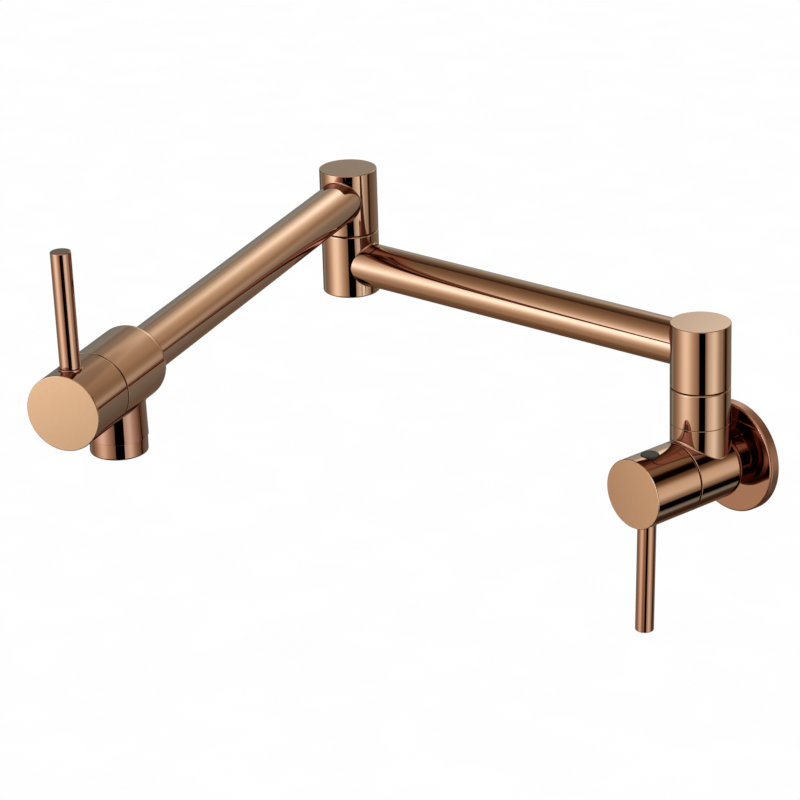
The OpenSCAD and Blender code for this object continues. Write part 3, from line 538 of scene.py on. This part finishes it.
def rose_gold(
    name, axis=None, origin=(0.0, 0.0, 0.0), satin=0.0, face_light_paint=None, slope=None,
    rim=None, painted_shade_tone=None, branch=None,
):
    """Polished rose gold plating. Flat faces square to axis are turned satin; lift is
    painted light on them, a colour factor that makes them lighter above one and darker
    below one, and slope says how much lighter this painted light gets for each metre
    along it. Skin further out from the axis than rim is softer. The tone is painted
    shade, which darkens the whole piece. Branch is the axis, place and radius of a round
    bar, and the painted shade that darkens what stands out of it."""
    material, net, shader = new_material(name)
    coords = net.add("ShaderNodeTexCoord")
    place = coords.outputs["Object"]
    shader.inputs["Metallic"].default_value = 1.0
    smudge = net.noise(place, SMUDGE_SCALE, 4.0, 0.55)
    cloud = net.noise(place, CLOUD_SCALE, 2.0, 0.5)
    pits = net.noise(place, PIT_SCALE, 3.0, 0.6)
    hairs = net.noise(net.squeezed(place, HAIR_SCALE), 1.0, 2.0, 0.6)
    shade = net.mix(net.span(cloud, 0.35, 0.65), ROSE_DEEP, ROSE_LIGHT)
    # Painted shade: tone darkens the colour of the whole piece
    if painted_shade_tone is not None:
        shade = net.vector("MULTIPLY", shade, painted_shade_tone)
    # Painted shade: darkens what stands out of the round bar, such as the outlet below the
    # spout body
    if branch is not None:
        bar, middle, size, tint = branch
        away = net.vector("SUBTRACT", place, middle)
        along = net.vector("DOT_PRODUCT", away, bar)
        away = net.vector("SUBTRACT", away, net.vector("SCALE", bar, scale=along))
        outside = net.vector("LENGTH", away)
        outside = net.span(outside, size + BRANCH_SHADE_BEGINS, size + BRANCH_SHADE_FULL)
        shade = net.mix(outside, shade, net.vector("MULTIPLY", shade, tint))
    rough = net.span(smudge, 0.35, 0.75, POLISH_CLEAN, POLISH_SMUDGED)
    rough = net.math("ADD", rough, net.span(pits, 0.62, 0.80, 0.0, PIT_ROUGH))
    surface = net.bump(hairs, HAIR_STRENGTH, HAIR_DEPTH)
    if axis is not None:
        facing = net.vector("DOT_PRODUCT", coords.outputs["Normal"], axis)
        face = net.span(net.math("ABSOLUTE", facing), FACE_BEGINS, FACE_FULL)
        away = net.vector("SUBTRACT", place, origin)
        along = net.vector("DOT_PRODUCT", away, axis)
        level = net.vector("SUBTRACT", away, net.vector("SCALE", axis, scale=along))
        radius = net.vector("LENGTH", level)
        rings = net.math("SINE", net.math("MULTIPLY", radius, 2 * math.pi / RING_PITCH))
        waver = net.noise(level, WAVER_SCALE, 3.0, 0.6)
        turned = net.math("MULTIPLY", rings, net.span(waver, 0.3, 0.8))
        satin_rough = net.math("ADD", net.span(waver, 0.2, 0.8, 0.0, WAVER_ROUGH), satin)
        rough = net.math(
            "ADD",
            net.math("MULTIPLY", rough, net.math("SUBTRACT", 1.0, face)),
            net.math("MULTIPLY", satin_rough, face),
        )
        surface = net.bump(
            net.math("MULTIPLY", turned, face), RING_STRENGTH, RING_DEPTH, surface
        )
        # Painted light on the turned faces: lift scales their colour, and slope makes this
        # painted light grow along a direction
        if face_light_paint is not None:
            face_light_painted_colour = net.vector("MULTIPLY", shade, face_light_paint)
            if slope is not None:
                rise = net.vector("DOT_PRODUCT", level, slope)
                face_light_painted_colour = net.vector("SCALE", face_light_painted_colour, scale=net.math("ADD", rise, 1.0))
            shade = net.mix(face, shade, face_light_painted_colour)
        if rim is not None:
            skin = net.span(radius, rim - RIM_BLEND, rim)
            skin = net.math("MULTIPLY", skin, net.math("SUBTRACT", 1.0, face))
            rough = net.math("ADD", rough, net.math("MULTIPLY", skin, RIM_ROUGH))
    net.plug(shade, shader.inputs["Base Color"])
    net.plug(rough, shader.inputs["Roughness"])
    net.plug(surface, shader.inputs["Normal"])
    return material


BRASS_LIGHT = (0.78, 0.57, 0.25, 1.0)
BRASS_DARK = (0.70, 0.49, 0.20, 1.0)
BRASS_TARNISH = (0.42, 0.27, 0.12, 1.0)
# Turning marks across the nipple's axis: scale along each axis
TOOLING_SCALE = (300.0, 5200.0, 300.0)
RUBBER_DARK = (0.018, 0.018, 0.019, 1.0)
RUBBER_BLOOM = (0.045, 0.045, 0.047, 1.0)
STEEL_DARK = (0.53, 0.53, 0.54, 1.0)
STEEL_LIGHT = (0.64, 0.64, 0.65, 1.0)
PLASTIC_GRAIN = 3200.0
# Light and dark colour and lowest and highest roughness
WHITE_PLASTIC = ((0.80, 0.79, 0.76, 1.0), (0.72, 0.71, 0.67, 1.0), 0.30, 0.42)
GREY_PLASTIC = ((0.054, 0.056, 0.057, 1.0), (0.037, 0.038, 0.040, 1.0), 0.34, 0.50)
CERAMIC = ((0.88, 0.87, 0.84, 1.0), (0.82, 0.81, 0.78, 1.0), 0.10, 0.20)


def brass(name):
    """Turned brass with a little tarnish."""
    material, net, shader = new_material(name)
    place = net.add("ShaderNodeTexCoord").outputs["Object"]
    shader.inputs["Metallic"].default_value = 1.0
    cloud = net.noise(place, 60.0, 4.0, 0.6)
    tarnish = net.span(net.noise(place, 170.0, 5.0, 0.65), 0.50, 0.72)
    shade = net.mix(cloud, BRASS_LIGHT, BRASS_DARK)
    shade = net.mix(net.math("MULTIPLY", tarnish, 0.5), shade, BRASS_TARNISH)
    net.plug(shade, shader.inputs["Base Color"])
    net.plug(net.span(cloud, 0.3, 0.7, 0.22, 0.38), shader.inputs["Roughness"])
    tooling = net.noise(net.squeezed(place, TOOLING_SCALE), 1.0, 2.0, 0.5)
    net.plug(net.bump(tooling, 0.15, 0.00004), shader.inputs["Normal"])
    return material


def rubber(name):
    material, net, shader = new_material(name)
    place = net.add("ShaderNodeTexCoord").outputs["Object"]
    bloom = net.noise(place, 240.0, 5.0, 0.65)
    shade = net.mix(net.span(bloom, 0.35, 0.75), RUBBER_DARK, RUBBER_BLOOM)
    net.plug(shade, shader.inputs["Base Color"])
    net.plug(net.span(bloom, 0.3, 0.7, 0.48, 0.72), shader.inputs["Roughness"])
    net.plug(net.bump(net.noise(place, 2600.0), 0.2, 0.00003), shader.inputs["Normal"])
    shader.inputs["Specular IOR Level"].default_value = 0.4
    return material


def plastic(name, light, dark, rough_low, rough_high):
    material, net, shader = new_material(name)
    place = net.add("ShaderNodeTexCoord").outputs["Object"]
    cloud = net.noise(place, 130.0, 4.0, 0.6)
    net.plug(net.mix(net.span(cloud, 0.3, 0.7), dark, light), shader.inputs["Base Color"])
    net.plug(net.span(cloud, 0.3, 0.7, rough_low, rough_high), shader.inputs["Roughness"])
    net.plug(net.bump(net.noise(place, PLASTIC_GRAIN), 0.12, 0.00002), shader.inputs["Normal"])
    return material


def steel(name):
    material, net, shader = new_material(name)
    place = net.add("ShaderNodeTexCoord").outputs["Object"]
    shader.inputs["Metallic"].default_value = 1.0
    cloud = net.noise(place, 420.0, 4.0, 0.6)
    shade = net.mix(cloud, STEEL_DARK, STEEL_LIGHT)
    net.plug(shade, shader.inputs["Base Color"])
    net.plug(net.span(cloud, 0.3, 0.7, 0.18, 0.34), shader.inputs["Roughness"])
    net.plug(net.bump(net.noise(place, 2400.0), 0.1, 0.00002), shader.inputs["Normal"])
    return material


# pieces
def add_piece(name, mesh, body, finish):
    mesh.update()
    for polygon in mesh.polygons:
        polygon.use_smooth = True
    piece = bpy.data.objects.new(name, mesh)
    bpy.context.scene.collection.objects.link(piece)
    mesh.materials.append(finish)
    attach(piece, body)
    return piece


def ring_mesh(name, rows):
    """A closed ring from equal rows of points, which joins the last to the first."""
    made = bmesh.new()
    grid = [[made.verts.new(point) for point in row] for row in rows]
    for here, there in zip(grid, grid[1:] + grid[:1]):
        count = len(here)
        for index in range(count):
            after = (index + 1) % count
            made.faces.new((here[index], here[after], there[after], there[index]))
    bmesh.ops.recalc_face_normals(made, faces=made.faces)
    mesh = bpy.data.meshes.new(name)
    made.to_mesh(mesh)
    made.free()
    return mesh


# Fillets where a round piece enters another: how deep the back of the ring lies in the
# metal, and the steps around the ring and across the hollow
FILLET_DEEP = 0.25 * MM
FILLET_STEPS = 144
FILLET_ARC = 6
# How far the hollow sinks below the skins that it meets, so that no gap shows
SKIN_BITE = 0.01 * MM


def saddle_fillet(name, body, finish, origin, main_axis, main_r, branch_axis, branch_r,
                  radius):
    """A hollow fillet around a branch that enters a round bar at right angles."""
    origin = Vector(origin)
    main_axis = Vector(main_axis).normalized()
    branch_axis = Vector(branch_axis).normalized()
    across = main_axis.cross(branch_axis)

    def meeting(big, small, angle):
        side = small * math.sin(angle)
        rise = math.sqrt(max(big * big - side * side, 0.0))
        return origin + main_axis * small * math.cos(angle) + across * side \
            + branch_axis * rise

    rows = []
    for step in range(FILLET_STEPS):
        angle = 2 * math.pi * step / FILLET_STEPS
        middle = meeting(main_r + radius, branch_r + radius, angle)
        back = meeting(main_r - FILLET_DEEP, branch_r - FILLET_DEEP, angle)
        out = middle - origin
        from_main = (out - main_axis * out.dot(main_axis)).normalized()
        from_branch = (out - branch_axis * out.dot(branch_axis)).normalized()
        row = [back]
        for place in range(FILLET_ARC + 1):
            share = place / FILLET_ARC
            way = from_main.lerp(from_branch, share).normalized()
            row.append(middle - way * (radius + SKIN_BITE))
        rows.append(row)
    mesh = ring_mesh(name, rows)
    return add_piece(name, mesh, body, finish)


# The inlet's pipe thread and the nipple's inside
THREAD_CREST = 10.48 * MM
THREAD_DEPTH = 1.16 * MM
THREAD_PITCH = 1.814 * MM
THREAD_STEPS = 96
THREAD_ROWS = 110
NIPPLE_BACK = 15.0 * MM
NIPPLE_GRIP_R = 9.7 * MM
NIPPLE_FRONT = 9.0 * MM
NIPPLE_ROUND = 0.8 * MM
NIPPLE_BORE = 6.5 * MM
SOCKET_FLAT = 7.2 * MM
SOCKET_DEEP = 6.0 * MM
MOUTH_CHAMFER = 0.3 * MM
# Shape of the thread's groove, how far its first turn is cut back, where its last
# turn begins to run out and how steeply
GROOVE_STEEP = 1.25
GROOVE_FLAT = 0.12
START_CUT = 0.2 * MM
RUNOUT_BEGINS = 1.2 * MM
RUNOUT_SLOPE = 1.5
SHARP_ANGLE = 50


def inlet_thread(finish):
    """The inlet nipple with its real pipe thread, in place of the plain one."""
    angles = [2 * math.pi * step / THREAD_STEPS for step in range(THREAD_STEPS)]

    def row(behind, radius_at):
        return [
            (radius_at(a) * math.cos(a), behind, radius_at(a) * math.sin(a)) for a in angles
        ]

    def threaded(behind):
        def radius_at(angle):
            turn = (behind / THREAD_PITCH - angle / (2 * math.pi)) % 1.0
            slope = GROOVE_STEEP * abs(2 * turn - 1) - GROOVE_FLAT
            groove = 0.5 - 0.5 * math.cos(math.pi * min(max(slope, 0), 1))
            radius = THREAD_CREST - THREAD_DEPTH * groove
            start = THREAD_CREST - THREAD_DEPTH - START_CUT + (NIPPLE_BACK - behind)
            past = max(behind - RUNOUT_BEGINS, 0.0)
            runout = THREAD_CREST - THREAD_DEPTH + past * RUNOUT_SLOPE
            return min(radius, start, runout)
        return radius_at

    def hexagon(angle):
        turn = (angle + math.pi / 6) % (math.pi / 3) - math.pi / 6
        return SOCKET_FLAT / math.cos(turn)

    places = [NIPPLE_BACK * (1 - step / THREAD_ROWS) for step in range(THREAD_ROWS + 1)]
    rows = [row(behind, threaded(behind)) for behind in places]
    rows += [
        row(0.0, lambda a: NIPPLE_GRIP_R),
        row(NIPPLE_ROUND - NIPPLE_FRONT, lambda a: NIPPLE_GRIP_R),
        row(-NIPPLE_FRONT, lambda a: NIPPLE_GRIP_R - NIPPLE_ROUND),
        row(-NIPPLE_FRONT, hexagon),
        row(SOCKET_DEEP - NIPPLE_FRONT, hexagon),
        row(SOCKET_DEEP - NIPPLE_FRONT, lambda a: NIPPLE_BORE),
        row(NIPPLE_BACK - MOUTH_CHAMFER, lambda a: NIPPLE_BORE),
        row(NIPPLE_BACK, lambda a: NIPPLE_BORE + MOUTH_CHAMFER),
    ]
    mesh = ring_mesh("inlet_nipple_threaded", rows)
    piece = add_piece("inlet_nipple_threaded", mesh, "wall_valve", finish)
    edges = piece.modifiers.new("sharp", "EDGE_SPLIT")
    edges.split_angle = math.radians(SHARP_ANGLE)
    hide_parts("inlet_nipple")


# Places and sizes that the pieces share with the solids
RISER_AXIS = (0.0, -28.0 * MM, 0.0)
ELBOW_AXIS = (-237.364 * MM, -63.474 * MM, 0.0)
INNER_WAY = (-0.989016, -0.147809, 0.0)
BODY_R = 19.05 * MM
KNUCKLE_R = 16.0 * MM
TUBE_R = 12.0 * MM
INNER_Z = 67.6 * MM
OUTER_Z = 105.3 * MM
OUTLET_PLACE = (-109.550 * MM, -323.230 * MM, 105.3 * MM)
OUTLET_NEAR_R = 28.9 / 2 * MM
RISER_FILLET = 1.0 * MM
TUBE_FILLET = 0.8 * MM
# Painted shade on the outlet, which darkens it outside the spout body that it stands on
OUTLET_PAINTED_SHADE = (OUTER_ARM, OUTLET_PLACE, BODY_R, (0.78, 0.67, 0.72))


def add_pieces(gold, raw):
    def at(axis, height):
        return (axis[0], axis[1], height)

    back = tuple(-part for part in INNER_WAY)
    saddle_fillet("riser_fillet", "wall_valve", gold, RISER_AXIS, (0, 1, 0), BODY_R,
                  UP, KNUCKLE_R, RISER_FILLET)
    saddle_fillet("inner_tube_wall_fillet", "inner_arm", gold, at(RISER_AXIS, INNER_Z), UP,
                  KNUCKLE_R, INNER_WAY, TUBE_R, TUBE_FILLET)
    saddle_fillet("inner_tube_elbow_fillet", "inner_arm", gold, at(ELBOW_AXIS, INNER_Z), UP,
                  KNUCKLE_R, back, TUBE_R, TUBE_FILLET)
    saddle_fillet("outer_tube_fillet", "outer_arm", gold, at(ELBOW_AXIS, OUTER_Z), UP,
                  KNUCKLE_R, OUTER_ARM, TUBE_R, TUBE_FILLET)
    # The outlet's fillet carries the same painted shade as the outlet
    outlet_gold = rose_gold("outlet_fillet", branch=OUTLET_PAINTED_SHADE)
    saddle_fillet("outlet_fillet", "outer_arm", outlet_gold, OUTLET_PLACE, OUTER_ARM,
                  BODY_R, (0, 0, -1), OUTLET_NEAR_R, TUBE_FILLET)
    inlet_thread(raw)


def paint_nodes():
    """Gives every node of the solids the finish of its slot, or one of its own, most of which
    carry painted light, painted shade, or both.
    """
    wall_way = (0.0, -1.0, 0.0)
    finishes = {
        "rose_gold": rose_gold("rose_gold_polished"),
        "raw_brass": brass("raw_brass"),
        "rubber": rubber("black_rubber"),
        "white_plastic": plastic("white_plastic", *WHITE_PLASTIC),
        "grey_plastic": plastic("grey_plastic", *GREY_PLASTIC),
        "ceramic": plastic("ceramic", *CERAMIC),
        "steel": steel("steel"),
    }
    slots = {row["node"]: row["material_slot"] for row in frame["record"]["subparts"]}
    # Per node: turned satin faces, and painted light and shade. Lift is painted light that
    # makes turned faces lighter, and darker on the levers; slope makes this painted light grow
    # along a direction; tone is painted shade over the whole piece; branch is painted shade on
    # what stands out of the spout body.
    special = {
        "wall_handle_cap": dict(
            axis=wall_way, satin=0.30, face_light_paint=(1.12, 1.10, 1.02), slope=(5.3, 0.0, 2.0)
        ),
        "spout_handle_cap": dict(
            axis=OUTER_ARM, origin=OUTLET_PLACE, satin=0.22, face_light_paint=(1.175, 1.18, 1.07),
            slope=(-2.3, -1.15, 4.7), painted_shade_tone=(0.88, 0.88, 0.88),
        ),
        "inner_knuckle": dict(
            axis=UP, origin=RISER_AXIS, satin=0.10, face_light_paint=(1.14, 1.18, 1.25)
        ),
        "elbow_upper_knuckle": dict(axis=UP, origin=ELBOW_AXIS, satin=0.12),
        "wall_flange": dict(axis=wall_way, rim=30.0 * MM, painted_shade_tone=(0.92, 0.80, 0.80)),
        "spout_lever": dict(
            axis=UP, satin=0.12, face_light_paint=(0.6, 0.6, 0.6), painted_shade_tone=(1.0, 0.94, 0.97)
        ),
        "wall_lever": dict(
            axis=UP, satin=0.12, face_light_paint=(0.6, 0.6, 0.6), painted_shade_tone=(1.0, 0.90, 0.90)
        ),
        "spout_body": dict(branch=OUTLET_PAINTED_SHADE),
        "aerator_housing": dict(painted_shade_tone=(0.84, 0.74, 0.74)),
    }
    for name, node in nodes.items():
        finish = finishes[slots[name]]
        if name in special:
            finish = rose_gold(name, **special[name])
        for place in node.material_slots:
            place.material = finish
    return finishes


make_camera()
make_world()
make_floor()
make_spot()
for card_name in CARDS:
    make_card(card_name)
finishes = paint_nodes()
add_pieces(finishes["rose_gold"], finishes["raw_brass"])

bpy.context.scene.view_settings.view_transform = "Standard"
bpy.context.scene.view_settings.look = "None"
